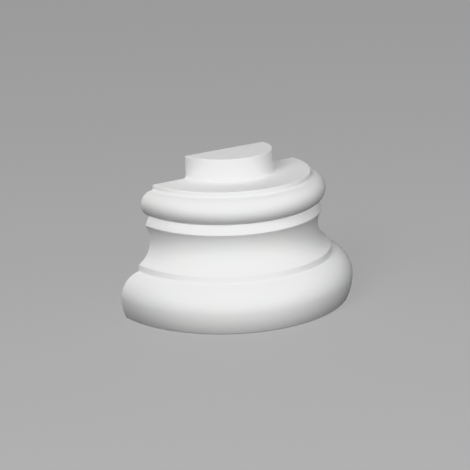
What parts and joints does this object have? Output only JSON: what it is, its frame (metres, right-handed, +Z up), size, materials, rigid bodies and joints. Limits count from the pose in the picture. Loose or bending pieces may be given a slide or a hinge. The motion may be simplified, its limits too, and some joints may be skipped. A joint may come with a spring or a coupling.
{
  "type": "half column base",
  "caption": "Flat-backed half-round column base in white moulded polyurethane: torus, scotia and torus mouldings with a shoulder and spigot that seat a half shaft.",
  "frame": {"origin": "on the floor, in the middle of the footprint's width and depth; the column's axis is the line x = 0, y = 0.095 in the plane of the flat back", "axes": "+X along the flat back, to the right of someone facing the round front; +Y out of the flat back, into the wall; +Z up along the column"},
  "size_m": [0.38, 0.19, 0.2261],
  "materials": {
    "primed_white": "smooth factory-primed white with a soft satin sheen"
  },
  "bodies": {
    "root": {"half_column_base": "primed_white"}
  },
  "joints": []
}
